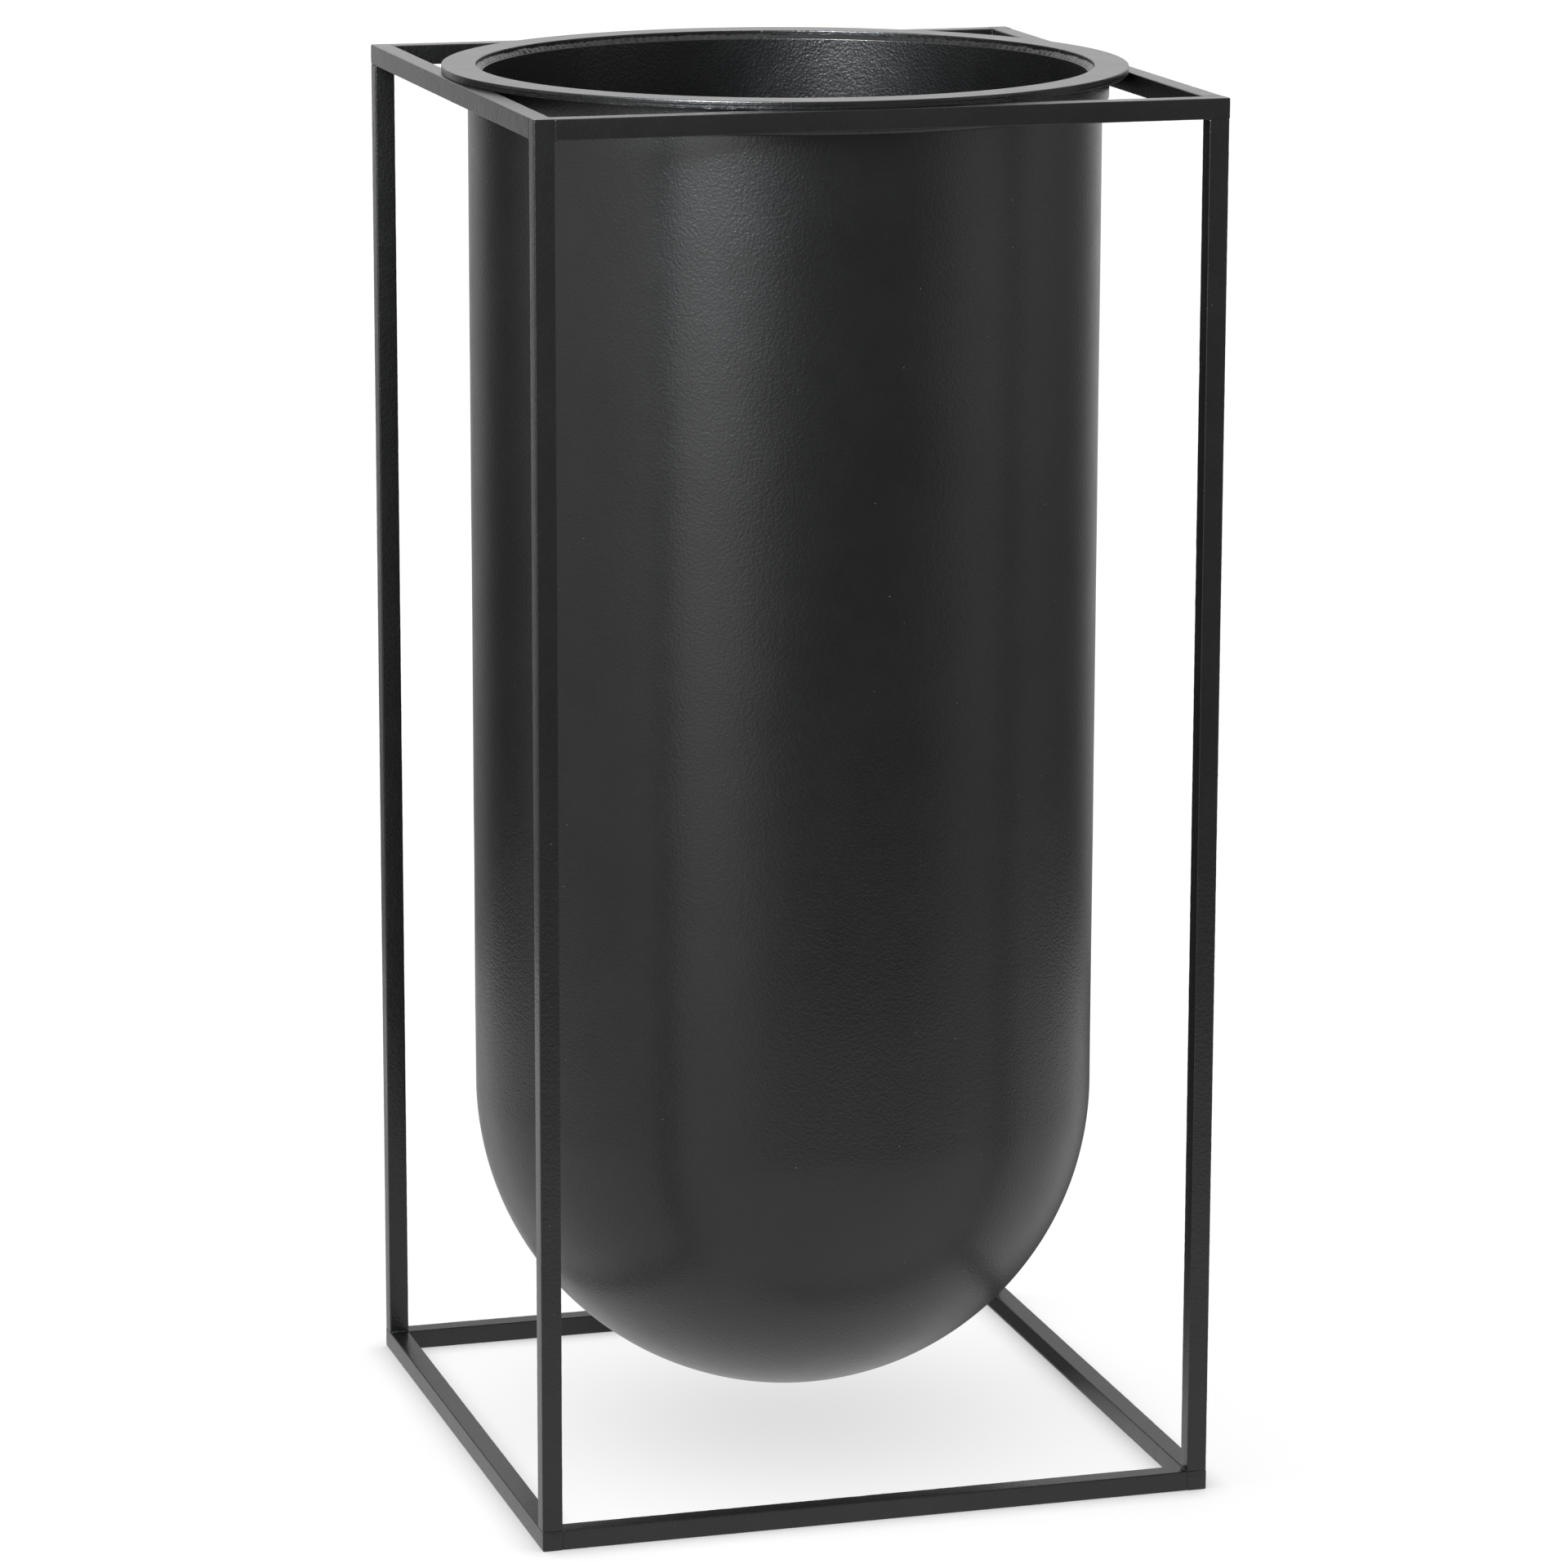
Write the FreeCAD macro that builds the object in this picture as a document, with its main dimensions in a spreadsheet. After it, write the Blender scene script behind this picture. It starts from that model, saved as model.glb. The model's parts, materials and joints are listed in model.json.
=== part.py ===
"""Round-bottomed steel bin that hangs in an open square-bar stand, in millimetres.

The stand is twelve square bars butt-welded at eight corners. The vessel is a tube with a hemispherical
end, a mouth sleeve, a locating collar and a flat flange, welded into one piece that lifts out of the
stand. The origin is on the floor in the middle of the stand, +Z is up, and the front of the stand
faces -Y.
"""
import FreeCAD, Part
import math
import os
import Sketcher

DIMENSIONS = {
    "stand_width": 270.0,       # outer width and depth of the stand
    "stand_height": 550.0,      # floor to the top face of the top rails
    "bar_side": 8.0,            # square bar stock
    "bar_edge": 0.4,            # radius along the edges of the bar
    "flange_diameter": 268.0,
    "mouth_diameter": 241.0,    # hole in the flange
    "flange_thickness": 3.0,
    "flange_edge": 0.4,         # radius of the flange's rims
    "collar_diameter": 253.0,   # leaves 0.5 mm to each of the four top rails
    "collar_bore": 236.0,
    "collar_height": 11.0,
    "collar_round": 2.5,        # lower outer edge, which runs in to the tube
    "sleeve_height": 60.0,      # carries the collar's bore on down inside the tube, without a step
    "tube_diameter": 248.0,     # outside of the tube and of the hemispherical end
    "tube_wall": 2.0,
    "floor_gap": 20.0,          # under the lowest point of the hemispherical end
    "weld_width": 1.8,          # weld inside the mouth, along the ledge on top of the collar
    "weld_rise": 2.0,           # the same weld, up the wall of the flange's hole
}

# Places worked out from the sheet, as expressions.
OUTER = "(Sizes.stand_width / 2)"
INNER = "(Sizes.stand_width / 2 - Sizes.bar_side)"
BAR_LINE = "((Sizes.stand_width - Sizes.bar_side) / 2)"
TOP_LINE = "(Sizes.stand_height - Sizes.bar_side / 2)"
BOTTOM_LINE = "(Sizes.bar_side / 2)"
UNDER_TOP_RAIL = "(Sizes.stand_height - Sizes.bar_side)"
COLLAR_FOOT = "(Sizes.stand_height - Sizes.collar_height)"
TUBE_FOOT = "(Sizes.floor_gap + Sizes.tube_diameter / 2)"
TUBE_BORE = "(Sizes.tube_diameter - 2 * Sizes.tube_wall)"

# Sketcher's numbers for a sketch's own axes and for a point of an element.
H_AXIS, V_AXIS = -1, -2
START, END, CENTRE = 1, 2, 3

doc = FreeCAD.newDocument("HangingBin")
sheet = doc.addObject("Spreadsheet::Sheet", "Sizes")
for row, (alias, value) in enumerate(DIMENSIONS.items(), start=1):
    sheet.set(f"A{row}", alias)
    sheet.set(f"B{row}", str(value))
    sheet.setAlias(f"B{row}", alias)
doc.recompute()

sub_parts = []


def new_body(label):
    body = doc.addObject("PartDesign::Body", label)
    body.Label = label
    sub_parts.append(body)
    return body


def new_sketch(body, role):
    """A sketch on the body's own origin plane of that role."""
    sketch = body.newObject("Sketcher::SketchObject", f"{body.Name}_sketch")
    plane = next(item for item in body.Origin.OriginFeatures if item.Role == role)
    sketch.AttachmentSupport = [(plane, "")]
    sketch.MapMode = "FlatFace"
    return sketch


def dimension(sketch, kind, *elements, size):
    """Add a dimension to a sketch, and bind it to an expression."""
    number = sketch.addConstraint(Sketcher.Constraint(kind, *elements, 1.0))
    sketch.setExpression(f"Constraints[{number}]", size)


def polygon(sketch, corners):
    """Draw a closed outline of straight lines, joined end to start. Line n starts at corner n."""
    points = [FreeCAD.Vector(across, up, 0) for across, up in corners]
    for start, end in zip(points, points[1:] + points[:1]):
        sketch.addGeometry(Part.LineSegment(start, end), False)
    for line in range(len(points)):
        following = (line + 1) % len(points)
        sketch.addConstraint(Sketcher.Constraint("Coincident", line, END, following, START))


def rectangle(sketch, width, height):
    """Draw a rectangle. Its lines are the bottom, right, top and left."""
    polygon(sketch, [(1, 0), (1 + width, 0), (1 + width, height), (1, height)])
    for line, kind in enumerate(("Horizontal", "Vertical", "Horizontal", "Vertical")):
        sketch.addConstraint(Sketcher.Constraint(kind, line))


def place(body, **places):
    for axis, expression in places.items():
        body.setExpression(f"Placement.Base.{axis}", expression)


def round_edges(body, edges, radius):
    """Round the edges of the body's last feature that the test picks."""
    doc.recompute()
    base = body.Tip
    names = [f"Edge{n}" for n, edge in enumerate(base.Shape.Edges, start=1) if edges(edge)]
    fillet = body.newObject("PartDesign::Fillet", f"{body.Name}_rounding")
    fillet.Base = (base, names)
    fillet.setExpression("Radius", radius)


def bar(label, along, low, high, **across):
    """A square bar between two places along one axis, with its long edges rounded."""
    body = new_body(label)
    sketch = new_sketch(body, {"x": "YZ_Plane", "y": "XZ_Plane", "z": "XY_Plane"}[along])
    rectangle(sketch, 1, 1)
    dimension(sketch, "DistanceX", 0, START, 0, END, size="Sizes.bar_side")
    dimension(sketch, "DistanceY", 1, START, 1, END, size="Sizes.bar_side")
    sketch.addConstraint(Sketcher.Constraint("Symmetric", 0, START, 2, START, H_AXIS, START))

    pad = body.newObject("PartDesign::Pad", f"{label}_pad")
    pad.Profile = sketch
    pad.SideType = "Symmetric"
    pad.setExpression("Length", f"{high} - {low}")
    place(body, **{along: f"({high} + {low}) / 2"}, **across)

    side = DIMENSIONS["bar_side"]
    round_edges(body, lambda edge: edge.Length > 2 * side, "Sizes.bar_edge")


def revolve(body, sketch):
    turn = body.newObject("PartDesign::Revolution", f"{body.Name}_turn")
    turn.Profile = sketch
    turn.ReferenceAxis = (sketch, ["V_Axis"])
    turn.Angle = 360.0


def ring(label, bore, diameter, height, foot):
    """A ring of rectangular section that stands on the height called foot."""
    body = new_body(label)
    sketch = new_sketch(body, "XZ_Plane")
    rectangle(sketch, 1, 1)
    sketch.addConstraint(Sketcher.Constraint("PointOnObject", 0, START, H_AXIS))
    dimension(sketch, "DistanceX", V_AXIS, START, 0, START, size=f"{bore} / 2")
    dimension(sketch, "DistanceX", V_AXIS, START, 0, END, size=f"{diameter} / 2")
    dimension(sketch, "DistanceY", 1, START, 1, END, size=height)
    revolve(body, sketch)
    place(body, z=foot)
    return body


def rim(diameter, heights):
    """Picks the circular edges of that diameter at those heights in the body's own frame."""
    def picks(edge):
        return (
            isinstance(edge.Curve, Part.Circle)
            and math.isclose(2 * edge.Curve.Radius, DIMENSIONS[diameter])
            and any(math.isclose(edge.Curve.Center.z, height, abs_tol=1e-6) for height in heights)
        )
    return picks


def stand():
    """Twelve square bars. Posts stand on the bottom side rails; at the top, two opposite posts run to
    the full height, and the other two stop under the rail that passes over them."""
    for level, line in (("bottom", BOTTOM_LINE), ("top", TOP_LINE)):
        reaches = {
            "bottom": {"front": INNER, "back": INNER, "left": OUTER, "right": OUTER},
            "top": {"front": OUTER, "back": INNER, "left": OUTER, "right": INNER},
        }[level]
        starts = {
            "bottom": {"front": INNER, "back": INNER, "left": OUTER, "right": OUTER},
            "top": {"front": INNER, "back": INNER, "left": INNER, "right": INNER},
        }[level]
        for side, sign in (("front", "-"), ("back", "")):
            bar(f"{side}_{level}_rail", "x", f"(-{starts[side]})", reaches[side], y=sign + BAR_LINE, z=line)
        for side, sign in (("left", "-"), ("right", "")):
            bar(f"{side}_{level}_rail", "y", f"(-{starts[side]})", reaches[side], x=sign + BAR_LINE, z=line)

    posts = {
        "front_left": ("-", "-", "Sizes.stand_height"),
        "front_right": ("", "-", UNDER_TOP_RAIL),
        "back_left": ("-", "", UNDER_TOP_RAIL),
        "back_right": ("", "", "Sizes.stand_height"),
    }
    for corner, (x_sign, y_sign, top) in posts.items():
        bar(f"{corner}_post", "z", "Sizes.bar_side", top, x=x_sign + BAR_LINE, y=y_sign + BAR_LINE)


def flange():
    """Flat ring that rests on the four top rails, with its rims rounded."""
    body = ring("flange", "Sizes.mouth_diameter", "Sizes.flange_diameter", "Sizes.flange_thickness",
                "Sizes.stand_height")
    thickness = DIMENSIONS["flange_thickness"]
    outer, mouth = rim("flange_diameter", (0, thickness)), rim("mouth_diameter", (thickness,))
    round_edges(body, lambda edge: outer(edge) or mouth(edge), "Sizes.flange_edge")


def locating_collar():
    """Thick ring under the flange that drops between the top rails; the tube is welded to its foot."""
    body = ring("locating_collar", "Sizes.collar_bore", "Sizes.collar_diameter", "Sizes.collar_height",
                COLLAR_FOOT)
    round_edges(body, rim("collar_diameter", (0,)), "Sizes.collar_round")


def mouth_sleeve():
    """Sleeve inside the top of the tube, flush with the collar's bore, so the mouth has one unbroken wall."""
    ring("mouth_sleeve", "Sizes.collar_bore", TUBE_BORE, "Sizes.sleeve_height",
         f"{COLLAR_FOOT} - Sizes.sleeve_height")


def vessel_tube():
    ring("vessel_tube", TUBE_BORE, "Sizes.tube_diameter", f"{COLLAR_FOOT} - {TUBE_FOOT}", TUBE_FOOT)


def vessel_end():
    """Hemispherical shell that closes the tube; its section is a quarter ring below the seam."""
    body = new_body("vessel_end")
    sketch = new_sketch(body, "XZ_Plane")
    origin, normal = FreeCAD.Vector(0, 0, 0), FreeCAD.Vector(0, 0, 1)
    for radius in (2, 1):
        sketch.addGeometry(
            Part.ArcOfCircle(Part.Circle(origin, normal, radius), -math.pi / 2, 0), False
        )
    sketch.addGeometry(Part.LineSegment(FreeCAD.Vector(0, -2, 0), FreeCAD.Vector(0, -1, 0)), False)
    sketch.addGeometry(Part.LineSegment(FreeCAD.Vector(1, 0, 0), FreeCAD.Vector(2, 0, 0)), False)
    outside, inside, pole, seam = range(4)
    for arc, wall in ((outside, "0"), (inside, "Sizes.tube_wall")):
        sketch.addConstraint(Sketcher.Constraint("Coincident", arc, CENTRE, H_AXIS, START))
        sketch.addConstraint(Sketcher.Constraint("PointOnObject", arc, START, V_AXIS))
        sketch.addConstraint(Sketcher.Constraint("PointOnObject", arc, END, H_AXIS))
        dimension(sketch, "Radius", arc, size=f"Sizes.tube_diameter / 2 - {wall}")
    sketch.addConstraint(Sketcher.Constraint("Coincident", pole, START, outside, START))
    sketch.addConstraint(Sketcher.Constraint("Coincident", pole, END, inside, START))
    sketch.addConstraint(Sketcher.Constraint("Coincident", seam, START, inside, END))
    sketch.addConstraint(Sketcher.Constraint("Coincident", seam, END, outside, END))
    revolve(body, sketch)
    place(body, z=TUBE_FOOT)


def mouth_weld():
    """Fillet weld in the corner between the collar's ledge and the wall of the flange's hole."""
    body = new_body("mouth_weld")
    sketch = new_sketch(body, "XZ_Plane")
    polygon(sketch, [(1, 0), (2, 0), (2, 1)])
    ledge, wall = 0, 1
    sketch.addConstraint(Sketcher.Constraint("PointOnObject", ledge, START, H_AXIS))
    sketch.addConstraint(Sketcher.Constraint("Horizontal", ledge))
    sketch.addConstraint(Sketcher.Constraint("Vertical", wall))
    dimension(sketch, "DistanceX", V_AXIS, START, ledge, END, size="Sizes.mouth_diameter / 2")
    dimension(sketch, "DistanceX", ledge, START, ledge, END, size="Sizes.weld_width")
    dimension(sketch, "DistanceY", wall, START, wall, END, size="Sizes.weld_rise")
    revolve(body, sketch)
    place(body, z="Sizes.stand_height")


def check():
    """Stop unless every object recomputed cleanly and every sub-part is one valid solid."""
    for item in doc.Objects:
        if {"Invalid", "Error"} & set(item.State):
            raise RuntimeError(f"{item.Name} is {item.State}")
    for body in sub_parts:
        shape = body.Shape
        if shape.isNull() or not shape.isValid() or len(shape.Solids) != 1:
            raise RuntimeError(f"{body.Label} isn't one valid solid")


stand()
flange()
locating_collar()
mouth_sleeve()
vessel_tube()
vessel_end()
mouth_weld()
doc.recompute()
check()

os.makedirs("parts", exist_ok=True)
for body in sub_parts:
    body.Shape.exportStep(f"parts/{body.Label}.step")
    box = body.Shape.BoundBox
    print(f"{body.Label}: {body.Shape.Volume:.0f} mm3, z {box.ZMin:.2f} to {box.ZMax:.2f}")
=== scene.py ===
import json
import math

import bpy
from mathutils import Matrix, Vector, noise


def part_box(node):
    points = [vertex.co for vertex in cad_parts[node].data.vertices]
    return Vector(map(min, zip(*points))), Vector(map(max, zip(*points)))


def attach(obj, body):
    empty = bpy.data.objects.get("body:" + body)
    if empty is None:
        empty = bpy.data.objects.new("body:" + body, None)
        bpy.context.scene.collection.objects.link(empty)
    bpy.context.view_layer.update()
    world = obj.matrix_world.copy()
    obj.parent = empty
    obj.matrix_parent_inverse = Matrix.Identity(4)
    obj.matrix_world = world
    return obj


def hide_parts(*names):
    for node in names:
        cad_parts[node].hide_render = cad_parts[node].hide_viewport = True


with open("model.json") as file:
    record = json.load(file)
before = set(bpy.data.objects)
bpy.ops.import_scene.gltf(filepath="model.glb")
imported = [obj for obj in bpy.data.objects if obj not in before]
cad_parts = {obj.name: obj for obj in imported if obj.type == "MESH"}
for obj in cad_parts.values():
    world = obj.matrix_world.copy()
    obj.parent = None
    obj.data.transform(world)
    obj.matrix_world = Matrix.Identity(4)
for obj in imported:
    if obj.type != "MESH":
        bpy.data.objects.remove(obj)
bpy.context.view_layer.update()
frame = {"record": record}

MM = 0.001
EDGE = 0.4 * MM            # rounding along the bars and the flange's rims
END_EDGE = 0.22 * MM       # rounding round the sawn ends of the bars, which shows as a hairline at each joint
WALL = 2.0 * MM            # sheet of the tube and of the round end
SINK = 0.02 * MM           # how far the sheet's skin lies inside its full size where it has no dent
DENT_ROOM = 0.3 * MM       # taken off the sheet's thickness, since dents sink both of its skins
WELD_LEG = 0.9 * MM        # small welds in the stand's inner corners


# ---- meshes --------------------------------------------------------------------------------------

def add_piece(name, vertices, faces, body, slot, stands_for=(), crease=40):
    """A smooth-shaded mesh that rides on a body. Edges sharper than crease degrees stay sharp."""
    mesh = bpy.data.meshes.new(name)
    mesh.from_pydata(vertices, [], faces)
    mesh.update()
    mesh.shade_smooth()
    mesh.set_sharp_from_angle(angle=math.radians(crease))
    mesh.materials.append(COATS[slot])
    piece = bpy.data.objects.new(name, mesh)
    bpy.context.scene.collection.objects.link(piece)
    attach(piece, body)
    if stands_for:
        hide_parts(*stands_for)
    return piece


def lumps(point, size, seed=0.0):
    """Smooth noise from 0 to 1 whose lumps are about that size."""
    return 0.5 + 0.5 * noise.noise(Vector(point) / size + Vector((seed, seed, seed)))


def rounded(corners, arc_steps=5, longest_run=6 * MM):
    """A closed outline through (across, up, rounding) corners, with arcs at the rounded ones and long runs
    divided. A point just off each end of an arc keeps the flat beside it flat."""
    points = []
    for index, (across, up, rounding) in enumerate(corners):
        corner = Vector((across, up))
        back = (Vector(corners[index - 1][:2]) - corner).normalized()
        on = (Vector(corners[(index + 1) % len(corners)][:2]) - corner).normalized()
        if not rounding:
            points.append(corner)
            continue
        half = back.angle(on) / 2
        reach = rounding / math.tan(half)
        centre = corner + (back + on).normalized() * rounding / math.sin(half)
        start, end = corner + back * reach - centre, corner + on * reach - centre
        swing = math.copysign(math.pi - 2 * half, start.cross(end))
        points.append(corner + back * (reach + rounding / 2))
        for step in range(arc_steps + 1):
            points.append(centre + Matrix.Rotation(swing * step / arc_steps, 2) @ start)
        points.append(corner + on * (reach + rounding / 2))
    divided = []
    for start, end in zip(points, points[1:] + points[:1]):
        runs = max(1, math.ceil((end - start).length / longest_run))
        divided += [start.lerp(end, run / runs) for run in range(runs)]
    return divided


def grid_faces(rows, columns, first=0, closed_rows=True):
    """Quads over a grid of rows by columns whose columns always wrap round."""
    faces = []
    for row in range(rows if closed_rows else rows - 1):
        following = (row + 1) % rows
        for column in range(columns):
            beside = (column + 1) % columns
            faces.append((
                first + row * columns + column, first + row * columns + beside,
                first + following * columns + beside, first + following * columns + column,
            ))
    return faces


def lathe(outline, segments, relief):
    """A closed outline of (radius, height) points, clockwise, turned about Z. relief(point) is how far the
    surface sinks in there. Sharp corners sink level, so that rings that meet there stay flush."""
    count = len(outline)
    outwards = []
    for index, spot in enumerate(outline):
        before, after = spot - outline[index - 1], outline[(index + 1) % count] - spot
        out = Vector((-(before + after).y, (before + after).x)).normalized()
        sharp = before.angle(after) > math.radians(60)
        outwards.append(Vector((math.copysign(1, out.x), 0)) if sharp else out)
    vertices = []
    for segment in range(segments):
        angle = 2 * math.pi * segment / segments
        turn = Vector((math.cos(angle), math.sin(angle), 0))
        for spot, out in zip(outline, outwards):
            point = turn * spot.x + Vector((0, 0, spot.y))
            point -= (turn * out.x + Vector((0, 0, out.y))) * relief(point)
            vertices.append(point)
    return vertices, grid_faces(segments, count)


def sheet_relief(point):
    """The slight unevenness of rolled and spun sheet, in dents a hand's breadth across."""
    return SINK + 0.22 * MM * lumps(point, 55 * MM) + 0.05 * MM * lumps(point, 14 * MM, 3.0)


def ring_relief(point):
    """The slight unevenness of the thick turned rings."""
    return 0.06 * MM * lumps(point, 12 * MM)


def bar_mesh(low, high):
    """A square bar between two corners, its faces very slightly uneven, its edges rounded and bumpy with
    coating, and the hairlines round its ends ground away here and there."""
    size = high - low
    long = max(range(3), key=lambda axis: size[axis])
    wide, deep = (axis for axis in range(3) if axis != long)
    half = size[wide] / 2
    section = rounded([(-half, -half, EDGE), (half, -half, EDGE), (half, half, EDGE), (-half, half, EDGE)],
                      arc_steps=3, longest_run=2.7 * MM)
    stations = [END_EDGE * (1 - math.cos(math.pi / 2 * step / 3)) for step in range(4)]
    runs = math.ceil((size[long] - 2 * END_EDGE) / (1.2 * MM))
    stations += [END_EDGE + (size[long] - 2 * END_EDGE) * run / runs for run in range(1, runs)]
    stations += [size[long] - place for place in reversed(stations[:4])]
    middle = (low + high) / 2
    vertices = []
    for place in stations:
        from_end = min(place, size[long] - place, END_EDGE)
        rounding = END_EDGE - math.sqrt(END_EDGE ** 2 - (END_EDGE - from_end) ** 2)
        for across, up in section:
            point = Vector((0, 0, 0))
            point[long] = low[long] + place
            point[wide] = middle[wide] + across
            point[deep] = middle[deep] + up
            ground = rounding * min(1, 1.9 * lumps(point, 3.5 * MM, 11.0) ** 2)
            on_edge = (abs(across * up) / half ** 2) ** 4
            wear = ground + 0.05 * MM * lumps(point, 9 * MM)
            wear += 0.13 * MM * on_edge * lumps(point, 1.8 * MM, 5.0)
            point[wide] -= wear * across / half
            point[deep] -= wear * up / half
            vertices.append(point)
    around = len(section)
    faces = grid_faces(len(stations), around, closed_rows=False)
    faces.append(tuple(reversed(range(around))))
    faces.append(tuple(range(len(vertices) - around, len(vertices))))
    if long == 1:
        faces = [tuple(reversed(face)) for face in faces]
    return vertices, faces


def fillet_mesh(corner, along, first, second, first_index):
    """A lumpy concave fillet from corner along a vector, with its legs on two faces. Its faces count their
    vertices from first_index."""
    steps, arc = 14, 5
    vertices = []
    for step in range(steps + 1):
        spot = corner + along * step / steps
        size = WELD_LEG * (0.55 + 0.75 * lumps(spot, 2.2 * MM, 9.0))
        size *= 0.35 + 0.65 * math.sin(math.pi * (0.12 + 0.76 * step / steps))
        vertices.append(spot - (first + second) * 0.15 * MM)
        for turn in range(arc + 1):
            angle = math.pi / 2 * turn / arc
            reach = first * (1 - math.sin(angle)) + second * (1 - math.cos(angle))
            vertices.append(spot + reach * size)
    around = arc + 2
    faces = grid_faces(steps + 1, around, first_index, closed_rows=False)
    faces.append(tuple(first_index + index for index in reversed(range(around))))
    faces.append(tuple(first_index + steps * around + index for index in range(around)))
    if first.cross(second).dot(along) < 0:
        faces = [tuple(reversed(face)) for face in faces]
    return vertices, faces


# ---- materials -----------------------------------------------------------------------------------

def add_node(tree, kind, settings=None, **inputs):
    """A shader node with its settings, and its inputs by name, each a value or another node's output."""
    made = tree.nodes.new("ShaderNode" + kind)
    for key, value in (settings or {}).items():
        setattr(made, key, value)
    for key, value in inputs.items():
        socket = made.inputs[key.replace("_", " ")]
        if isinstance(value, bpy.types.NodeSocket):
            tree.links.new(value, socket)
        else:
            socket.default_value = value
    return made


def combine(tree, operation, first, second):
    """A Math node over two values or outputs."""
    made = tree.nodes.new("ShaderNodeMath")
    made.operation = operation
    for socket, value in zip(made.inputs, (first, second)):
        if isinstance(value, bpy.types.NodeSocket):
            tree.links.new(value, socket)
        else:
            socket.default_value = value
    return made.outputs["Value"]


def spread(tree, value, low, high, from_low=0.0, from_high=1.0):
    """A value's range mapped to another."""
    ranged = add_node(tree, "MapRange", None, Value=value, From_Min=from_low, From_Max=from_high, To_Min=low,
                      To_Max=high)
    return ranged.outputs["Result"]


SPECK_COLOUR = (0.11, 0.11, 0.11, 1)


def powder_coat(name, tone):
    """Fine-textured near-black powder coat: an orange peel with a grain of about a millimetre, a faint mottle
    in colour and gloss, and pale specks that come in swarms."""
    material = bpy.data.materials.new(name)
    material.use_nodes = True
    tree = material.node_tree
    shader = tree.nodes["Principled BSDF"]
    place = add_node(tree, "TexCoord").outputs["Object"]

    peel = add_node(tree, "TexNoise", None, Vector=place, Scale=900.0, Detail=2.0, Roughness=0.5)
    grain = add_node(tree, "TexNoise", None, Vector=place, Scale=2600.0, Detail=1.0, Roughness=0.5)
    rolled = add_node(tree, "Bump", None, Height=peel.outputs[0], Distance=0.00014, Strength=1.0)
    surface = add_node(tree, "Bump", None, Height=grain.outputs[0], Distance=0.000012, Strength=1.0,
                       Normal=rolled.outputs["Normal"])

    mottle = add_node(tree, "TexNoise", None, Vector=place, Scale=26.0, Detail=6.0, Roughness=0.62)
    dust = add_node(tree, "TexNoise", None, Vector=place, Scale=420.0, Detail=2.0, Roughness=0.6)
    clouds, motes = spread(tree, mottle.outputs[0], 0.0, 0.7), spread(tree, dust.outputs[0], 0.0, 0.3)
    shade = combine(tree, "ADD", clouds, motes)
    ramp = add_node(tree, "ValToRGB", None, Fac=shade)
    ramp.color_ramp.elements[0].position = 0.3
    ramp.color_ramp.elements[0].color = tuple(0.75 * part for part in tone) + (1,)
    ramp.color_ramp.elements[1].position = 0.75
    ramp.color_ramp.elements[1].color = tuple(1.35 * part for part in tone) + (1,)

    specks = add_node(tree, "TexVoronoi", None, Vector=place, Scale=170.0, Randomness=1.0)
    small = combine(tree, "LESS_THAN", specks.outputs["Distance"], 0.045)
    chance = add_node(tree, "SeparateColor", None, Color=specks.outputs["Color"]).outputs["Red"]
    swarm = add_node(tree, "TexNoise", None, Vector=place, Scale=11.0, Detail=1.0).outputs[0]
    rarity = spread(tree, swarm, 0.99, 0.55, 0.45, 0.7)
    speck = combine(tree, "MULTIPLY", small, combine(tree, "GREATER_THAN", chance, rarity))
    colour = add_node(tree, "Mix", {"data_type": "RGBA"})
    tree.links.new(speck, colour.inputs["Factor"])
    tree.links.new(ramp.outputs["Color"], colour.inputs[6])
    colour.inputs[7].default_value = SPECK_COLOUR

    gloss = add_node(tree, "TexNoise", None, Vector=place, Scale=60.0, Detail=4.0, Roughness=0.6)
    tree.links.new(colour.outputs[2], shader.inputs["Base Color"])
    tree.links.new(spread(tree, gloss.outputs[0], 0.25, 0.33), shader.inputs["Roughness"])
    tree.links.new(surface.outputs["Normal"], shader.inputs["Normal"])
    shader.inputs["Specular IOR Level"].default_value = 0.5
    return material


COATS = {
    "stand_coat": powder_coat("stand_coat_finish", (0.0110, 0.0111, 0.0113)),
    "vessel_coat": powder_coat("vessel_coat_finish", (0.0088, 0.0090, 0.0093)),
}


# ---- stand ---------------------------------------------------------------------------------------

def stand_bars():
    """Twelve bars, each in its node's place."""
    for node in frame["record"]["behaviour"]["bodies"]["stand"]:
        vertices, faces = bar_mesh(*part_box(node))
        add_piece(f"{node}_bar", vertices, faces, "stand", "stand_coat", [node])


def stand_welds():
    """Small welds along the three edges that meet at each of the eight inner corners."""
    start_share, run_share = 0.06, 0.88
    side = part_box("front_bottom_rail")[1].z
    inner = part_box("front_bottom_rail")[1].x
    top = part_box("front_top_rail")[0].z
    for x_name, x_sign in (("left", -1), ("right", 1)):
        for y_name, y_sign in (("front", -1), ("back", 1)):
            for level, height, up in (("bottom", side, 1), ("top", top, -1)):
                to_x, to_y, to_z = Vector((-x_sign, 0, 0)), Vector((0, -y_sign, 0)), Vector((0, 0, up))
                corner = Vector((x_sign * inner, y_sign * inner, height))
                strips = (
                    (corner, -to_x * side, to_y, to_z),
                    (corner, -to_y * side, to_x, to_z),
                    (corner, -to_z * side, to_x, to_y),
                )
                vertices, faces = [], []
                for start, along, first, second in strips:
                    more, quads = fillet_mesh(start + along * start_share, along * run_share, first, second,
                                              len(vertices))
                    vertices += more
                    faces += quads
                add_piece(f"{y_name}_{x_name}_{level}_weld", vertices, faces, "stand", "stand_coat")


# ---- vessel --------------------------------------------------------------------------------------

SHELL_SEGMENTS = 480


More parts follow.
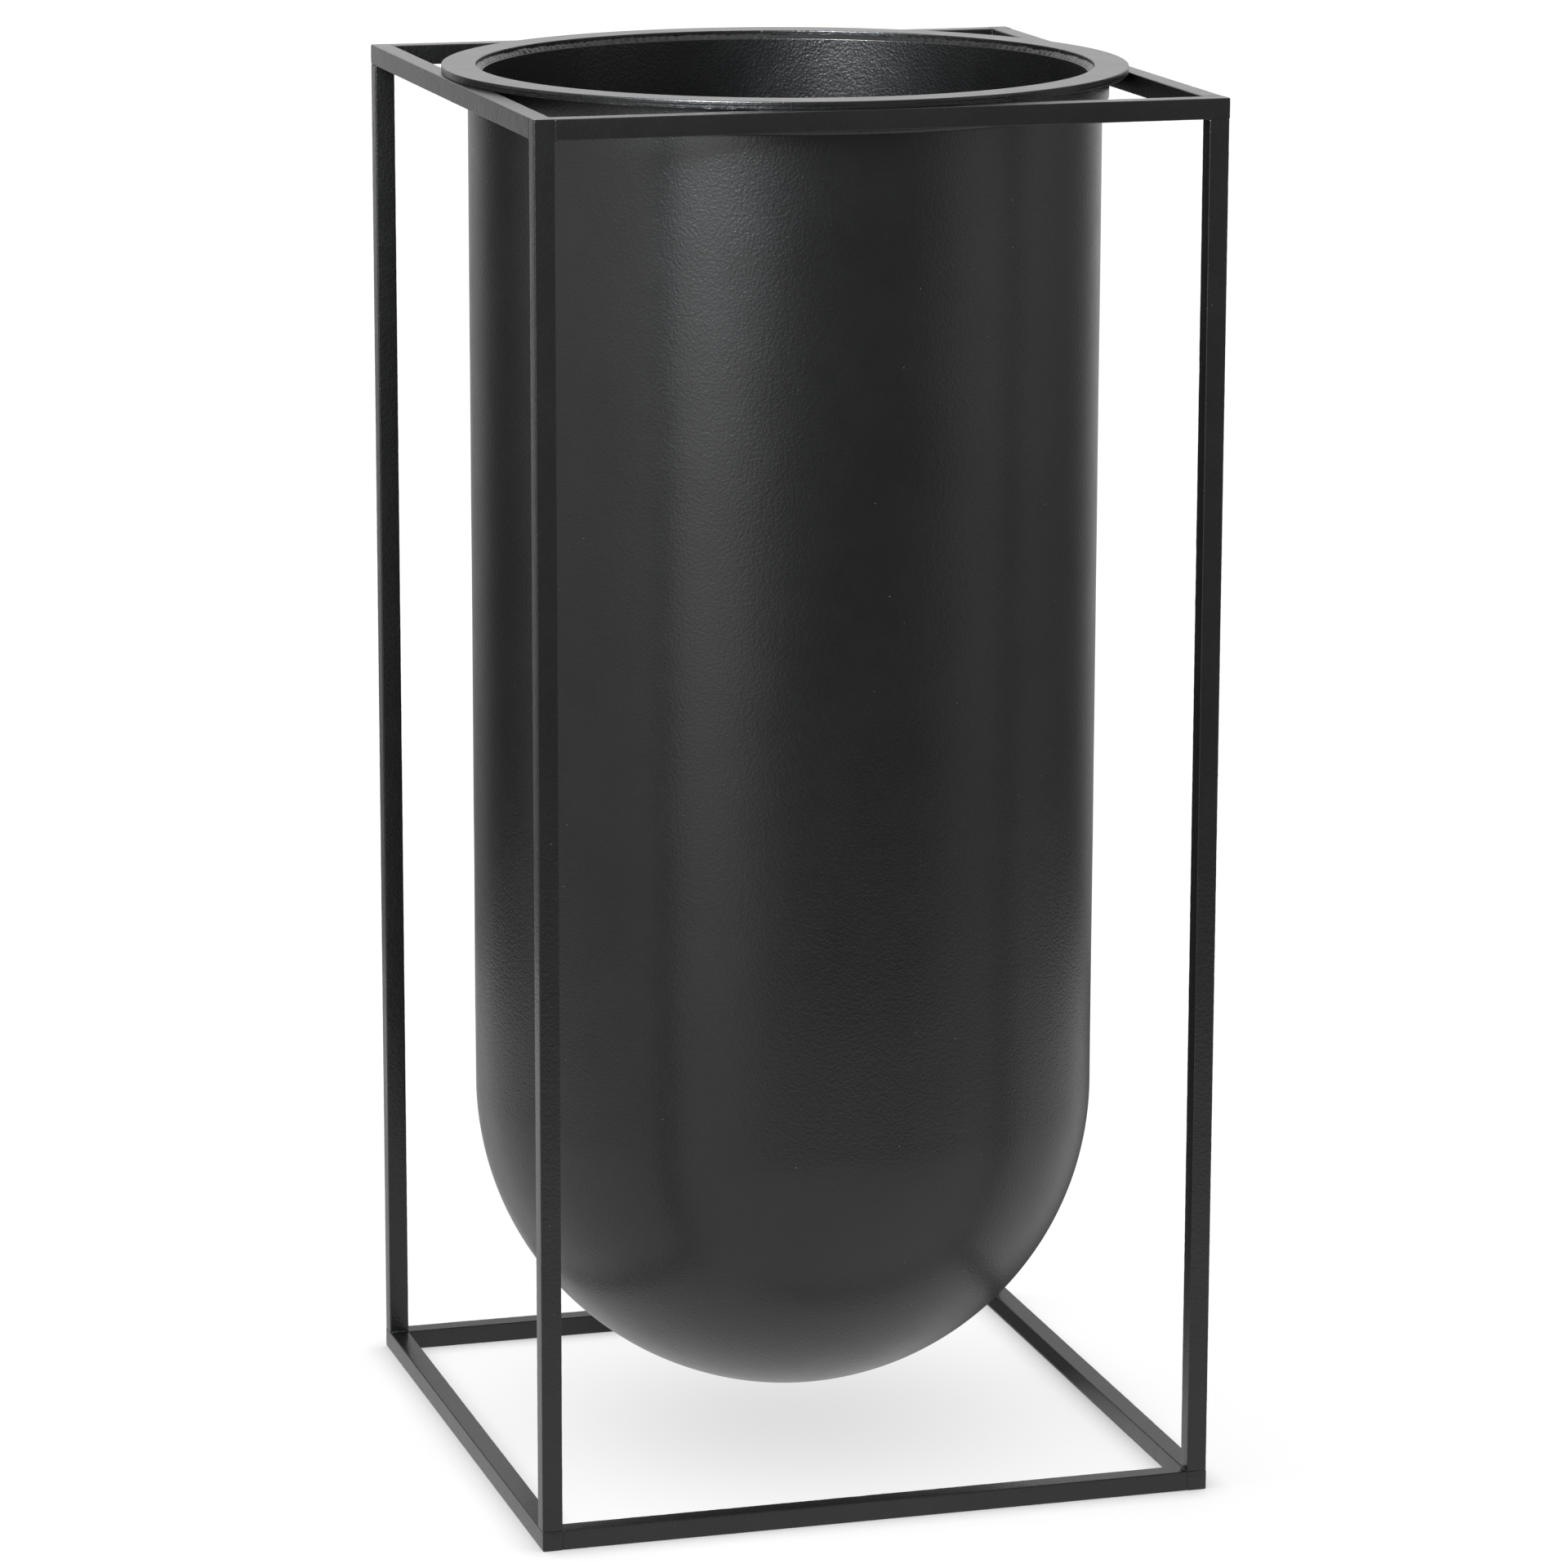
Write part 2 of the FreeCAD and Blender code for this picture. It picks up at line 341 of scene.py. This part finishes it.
def ring_piece(name, node, corners, segments, relief, **outline):
    """A turned ring of the vessel that stands for one node."""
    vertices, faces = lathe(rounded(corners, **outline), segments, relief)
    add_piece(name, vertices, faces, "vessel", "vessel_coat", [node])


def flange_ring(mouth):
    """Flat ring on the top rails, with a streaked cut edge round its rim and spatter round its hole."""
    low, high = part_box("flange")
    foot, top, rim = low.z, high.z, high.x
    cut_foot, cut_line = foot + 0.2 * MM, foot + 0.55 * (top - foot)
    margin = 0.2 * MM

    def relief(point):
        radius = math.hypot(point.x, point.y)
        sunk = 0.03 * MM * lumps(point, 20 * MM)
        if radius > rim - margin and cut_foot < point.z < cut_line:
            streak = lumps((point.x, point.y, point.z * 0.25), 1.3 * MM)
            sunk += 0.05 * MM + 0.28 * MM * streak * lumps(point, 7 * MM, 2.0)
        if radius < mouth + margin:
            sunk += 0.25 * MM * lumps(point, 1.6 * MM, 4.0) * lumps(point, 9 * MM, 7.0)
        return sunk

    corners = [(mouth, foot, 0), (mouth, top, EDGE), (rim, top, EDGE), (rim, foot, EDGE)]
    section = rounded(corners, arc_steps=4, longest_run=3.4 * MM)
    for share in (0.7, 0.6, 0.56, 0.5, 0.4, 0.3):
        height = foot + share * (top - foot)
        index = next(i for i, point in enumerate(section) if point.x > rim - 1e-6 and point.y < height)
        section.insert(index, Vector((rim, height)))
    vertices, faces = lathe(section, 1440, relief)
    add_piece("flange_ring", vertices, faces, "vessel", "vessel_coat", ["flange"])


def collar_ring(bore):
    low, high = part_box("locating_collar")
    lower_edge = 2.4 * MM
    corners = [(bore, low.z, 0), (bore, high.z, EDGE), (high.x, high.z, 0), (high.x, low.z, lower_edge)]
    ring_piece("collar_ring", "locating_collar", corners, 720, ring_relief, arc_steps=8, longest_run=3 * MM)


def sleeve_ring(bore, outside):
    low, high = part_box("mouth_sleeve")
    corners = [(bore, low.z, 0), (bore, high.z, 0), (outside, high.z, 0), (outside, low.z, 0)]
    ring_piece("mouth_sleeve_ring", "mouth_sleeve", corners, 720, ring_relief, longest_run=4 * MM)


def weld_bead(mouth):
    """The bead inside the mouth, with the ripples and spatter of a hand-run weld."""
    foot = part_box("flange")[0].z
    segments, arc, ripples = 1800, 6, 210
    vertices = []
    for segment in range(segments):
        angle = 2 * math.pi * segment / segments
        turn = Vector((math.cos(angle), math.sin(angle), 0))
        rim = turn * mouth
        ripple = 0.5 + 0.5 * math.cos(angle * ripples + 2.5 * noise.noise(rim / (12 * MM)))
        width = MM * (1.1 + 0.75 * lumps(rim, 11 * MM, 1.0) + 0.28 * ripple)
        rise = MM * (0.9 + 1.0 * lumps(rim, 8 * MM, 6.0) + 0.25 * ripple)
        vertices.append(rim + turn * 0.2 * MM + Vector((0, 0, foot)))
        for step in range(arc + 1):
            quarter = math.pi / 2 * step / arc
            inwards, up = width * (1 - math.sin(quarter)), rise * (1 - math.cos(quarter))
            crown = 0.35 * MM * math.sin(2 * quarter) * (0.5 + lumps(rim, 2.5 * MM, 8.0))
            vertices.append(rim - turn * (inwards + crown) + Vector((0, 0, foot + up + crown)))
    faces = grid_faces(segments, arc + 2)
    add_piece("mouth_weld_bead", vertices, faces, "vessel", "vessel_coat", ["mouth_weld"], crease=70)


def shell(stations, segments, pole=None):
    """Slightly dented sheet turned about Z, through stations of an outer (radius, height) point and the
    direction out of the sheet there. With pole, the height of its lowest point, it closes over the axis after
    the last station."""
    thickness = WALL - DENT_ROOM
    vertices = []
    for segment in range(segments):
        angle = 2 * math.pi * segment / segments
        turn = Vector((math.cos(angle), math.sin(angle), 0))
        inner, outer = [], []
        for spot, out in stations:
            outwards = turn * out.x + Vector((0, 0, out.y))
            point = turn * spot.x + Vector((0, 0, spot.y))
            point -= outwards * sheet_relief(point)
            outer.append(point)
            inner.append(point - outwards * thickness)
        vertices += reversed(inner)
        vertices += outer
    count = 2 * len(stations)
    if pole is None:
        return vertices, grid_faces(segments, count)
    faces = []
    for segment in range(segments):
        here, following = segment * count, (segment + 1) % segments * count
        for row in range(count - 1):
            faces.append((here + row, here + row + 1, following + row + 1, following + row))
        faces.append((len(vertices), here, following))
        faces.append((len(vertices) + 1, following + count - 1, here + count - 1))
    lowest = pole + sheet_relief(Vector((0, 0, pole)))
    vertices.append(Vector((0, 0, lowest + thickness)))
    vertices.append(Vector((0, 0, lowest)))
    return vertices, faces


def tube_shell(radius):
    low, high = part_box("vessel_tube")
    rows = math.ceil((high.z - low.z) / (4 * MM))
    heights = [high.z + (low.z - high.z) * row / rows for row in range(rows + 1)]
    stations = [(Vector((radius, height)), Vector((1, 0))) for height in heights]
    vertices, faces = shell(stations, SHELL_SEGMENTS)
    add_piece("tube_shell", vertices, faces, "vessel", "vessel_coat", ["vessel_tube"])


def round_end_shell(radius):
    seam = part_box("vessel_tube")[0].z
    rows = 72
    turns = [Vector((math.cos(a), -math.sin(a))) for a in (math.pi / 2 * row / rows for row in range(rows))]
    stations = [(Vector((0, seam)) + turn * radius, turn) for turn in turns]
    vertices, faces = shell(stations, SHELL_SEGMENTS, pole=seam - radius)
    add_piece("round_end_shell", vertices, faces, "vessel", "vessel_coat", ["vessel_end"])


def vessel():
    """Flange with its cut edge, collar, sleeve and weld inside the mouth, tube and round end."""
    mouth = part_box("mouth_weld")[1].x
    bore = next(m["dims"]["r_mm"] for m in frame["record"]["mounts"] if m["name"] == "mouth") * MM
    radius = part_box("vessel_tube")[1].x
    flange_ring(mouth)
    collar_ring(bore)
    sleeve_ring(bore, radius - WALL)
    weld_bead(mouth)
    tube_shell(radius)
    round_end_shell(radius)


stand_bars()
stand_welds()
vessel()


# ---- studio --------------------------------------------------------------------------------------

LIGHT_FROM = Vector((-0.75, 0.35, 0.95))    # towards the broad skylight, from the object
FLOOR_REACH = 30
FLOOR_TONE = 0.2                            # what the table throws back of the light on it
FLOOR_GLOW = 0.855                          # what it gives by itself, which makes open ground just white

# How bright the tent round the object is, by compass angle: 0 is +X, 90 is +Y, -90 is the front.
TENT = (
    (-180, 0.9), (-166, 1.0), (-152, 1.2), (-142, 2.0), (-124, 2.0), (-114, 0.7), (-104, 0.2),
    (-60, 0.2), (-40, 0.9), (-15, 0.7), (10, 0.25), (25, 0.25), (44, 1.12), (104, 1.12),
    (114, 0.7), (126, 0.1), (148, 0.1), (160, 0.8), (180, 0.9),
)
TENT_RADIUS, TENT_HEIGHT = 0.8, 1.8
TENT_FOOT, TABLE_LEVEL = 0.002, 0.001       # just over the floor, so that no two panels share a plane
KEY_ARC, KEY_FOOT, KEY_TOP = (-141, -122), 0.70, 1.35
KEY_COLOUR, KEY_STRENGTH = (0.93, 0.98, 1.04), 80.0
OVERHEAD_GLOW = 1.0
TABLE_GLOW, SHADED_GLOW = 0.75, 0.12        # the table as the coat mirrors it, in the open and in the shadow


def stage_mesh(name, vertices, faces, material):
    """A mesh of the studio, which is no part of the object."""
    mesh = bpy.data.meshes.new(name)
    mesh.from_pydata(vertices, [], faces)
    mesh.materials.append(material)
    made = bpy.data.objects.new(name, mesh)
    bpy.context.scene.collection.objects.link(made)
    return made


def painted_shadow_factor(tree, reach, depth):
    """A painted shadow: 1 on open ground, less by up to depth where something nearer than reach stands
    towards the skylight.
    """
    node = add_node(tree, "AmbientOcclusion", {"samples": 8}, Distance=reach, Normal=LIGHT_FROM.normalized())
    return spread(tree, node.outputs["AO"], 1 - depth, 1.0)


def floor():
    """A white light table: most of its light is its own glow, and that glow carries a painted shadow, dimmed
    where the object crowds it.
    """
    material = bpy.data.materials.new("white_table")
    material.use_nodes = True
    tree = material.node_tree
    shader = tree.nodes["Principled BSDF"]
    shader.inputs["Base Color"].default_value = (FLOOR_TONE, FLOOR_TONE, FLOOR_TONE, 1)
    shader.inputs["Roughness"].default_value = 1.0
    shader.inputs["Specular IOR Level"].default_value = 0.0
    shader.inputs["Emission Color"].default_value = (1, 1, 1, 1)
    # painted shadow: the table's own glow is dimmed in a tight band along the foot of the bars and in a broad
    # patch under the round end
    painted_contact_shadow = painted_shadow_factor(tree, 0.012, 0.55)
    painted_broad_shadow = painted_shadow_factor(tree, 0.09, 0.27)
    light = combine(tree, "MULTIPLY", combine(tree, "MULTIPLY", painted_contact_shadow, painted_broad_shadow), FLOOR_GLOW)
    tree.links.new(light, shader.inputs["Emission Strength"])
    corners = [(x * FLOOR_REACH, y * FLOOR_REACH, 0) for x, y in ((-1, -1), (1, -1), (1, 1), (-1, 1))]
    stage_mesh("floor", corners, [(0, 1, 2, 3)], material)


def reflector(name, material, vertices, faces):
    """A panel that only shows as a reflection in the coat."""
    panel = stage_mesh(name, vertices, faces, material)
    panel.visible_camera = False
    panel.visible_diffuse = False
    panel.visible_shadow = False
    panel.visible_transmission = False
    panel.visible_volume_scatter = False
    return panel


def glow(name, strength, colour=(1, 1, 1)):
    """An emitting material whose strength is a number or is built by a function from the tree."""
    material = bpy.data.materials.new(name)
    material.use_nodes = True
    tree = material.node_tree
    tree.nodes.clear()
    emission = add_node(tree, "Emission", None, Color=(*colour, 1),
                        Strength=strength(tree) if callable(strength) else strength)
    output = tree.nodes.new("ShaderNodeOutputMaterial")
    tree.links.new(emission.outputs["Emission"], output.inputs["Surface"])
    return material


def tent_strength(tree):
    """The tent's brightness: by compass angle as listed, and less towards its foot."""
    place = add_node(tree, "TexCoord").outputs["Object"]
    turn = add_node(tree, "TexGradient", {"gradient_type": "RADIAL"}, Vector=place).outputs["Fac"]
    ramp = add_node(tree, "ValToRGB", None, Fac=turn)
    elements = ramp.color_ramp.elements
    most = max(strength for _, strength in TENT)
    for angle, _ in TENT[1:-1]:
        elements.new((angle + 180) / 360)
    for element, (angle, strength) in zip(elements, TENT):
        element.position = (angle + 180) / 360
        element.color = (strength / most, strength / most, strength / most, 1)
    height = add_node(tree, "SeparateXYZ", None, Vector=place).outputs["Z"]
    low = spread(tree, height, 0.32, 1.0, 0.0, 0.6)
    return combine(tree, "MULTIPLY", combine(tree, "MULTIPLY", ramp.outputs["Color"], low), most)


def table_strength(tree):
    """The table as the coat mirrors it: in the vessel's shadow on the side away from the key panel."""
    away = math.radians(sum(KEY_ARC) / 2 + 180)
    place = add_node(tree, "TexCoord").outputs["Object"]
    turned = add_node(tree, "VectorRotate", {"rotation_type": "Z_AXIS"}, Vector=place, Angle=-away)
    parts = add_node(tree, "SeparateXYZ", None, Vector=turned.outputs["Vector"]).outputs
    across = spread(tree, combine(tree, "ABSOLUTE", parts["Y"], 0), 1.0, 0.0, 0.09, 0.15)
    along = spread(tree, parts["X"], 0.0, 1.0, 0.02, 0.10)
    shadow = combine(tree, "MULTIPLY", across, along)
    return spread(tree, shadow, TABLE_GLOW, SHADED_GLOW)


def reflectors():
    """What the coat mirrors: a tent round the object, its roof, the table, and one tall bright key panel."""
    columns = 96
    turns = [2 * math.pi * column / columns for column in range(columns)]

    def ring(height):
        return [(TENT_RADIUS * math.cos(a), TENT_RADIUS * math.sin(a), height) for a in turns]

    disc = [tuple(range(columns))]
    reflector("tent", glow("tent_glow", tent_strength), ring(TENT_FOOT) + ring(TENT_HEIGHT),
              grid_faces(2, columns, closed_rows=False))
    reflector("overhead_panel", glow("overhead_glow", OVERHEAD_GLOW), ring(TENT_HEIGHT), disc)
    reflector("table_glow", glow("table_reflection", table_strength), ring(TABLE_LEVEL), disc)

    steps = 12
    arc = [math.radians(KEY_ARC[0] + (KEY_ARC[1] - KEY_ARC[0]) * step / steps) for step in range(steps + 1)]
    reach = TENT_RADIUS - 0.02
    vertices = [(reach * math.cos(a), reach * math.sin(a), z) for z in (KEY_FOOT, KEY_TOP) for a in arc]
    reflector("key_panel", glow("key_glow", KEY_STRENGTH, KEY_COLOUR), vertices,
              [(step, step + 1, step + steps + 2, step + steps + 1) for step in range(steps)])


def shadow_light():
    """An even white world and a broad weak sun, unseen by the coat, which throw the floor's cast shadows; its
    shade near the object is painted into its glow.
    """
    world = bpy.data.worlds.new("studio")
    bpy.context.scene.world = world
    world.use_nodes = True
    background = world.node_tree.nodes["Background"]
    background.inputs["Color"].default_value = (1, 1, 1, 1)
    background.inputs["Strength"].default_value = 0.9
    world.cycles_visibility.glossy = False

    lamp = bpy.data.lights.new("skylight", "SUN")
    lamp.energy = 0.7
    lamp.angle = math.radians(50)
    skylight = bpy.data.objects.new("skylight", lamp)
    bpy.context.scene.collection.objects.link(skylight)
    skylight.rotation_mode = "QUATERNION"
    skylight.rotation_quaternion = LIGHT_FROM.to_track_quat("Z", "Y")
    skylight.visible_glossy = False


CAMERA_AT = (-0.6985, -2.3822, 0.8230)      # off the front left corner and a little above the mouth
CAMERA_AHEAD = (0.2746, 0.9362, -0.2195)
CAMERA_UP = (0.0596, 0.2112, 0.9756)
LENS, SENSOR = 146.05, 36                   # millimetres


def camera():
    """Looks down on the object from the front left."""
    data = bpy.data.cameras.new("camera")
    data.sensor_width = SENSOR
    data.lens = LENS
    data.clip_end = 100
    made = bpy.data.objects.new("camera", data)
    bpy.context.scene.collection.objects.link(made)
    ahead = Vector(CAMERA_AHEAD).normalized()
    right = ahead.cross(Vector(CAMERA_UP)).normalized()
    turn = Matrix((right, right.cross(ahead), -ahead)).transposed()
    made.matrix_world = Matrix.Translation(CAMERA_AT) @ turn.to_4x4()
    bpy.context.scene.camera = made


floor()
reflectors()
shadow_light()
camera()
bpy.context.scene.view_settings.view_transform = "Standard"
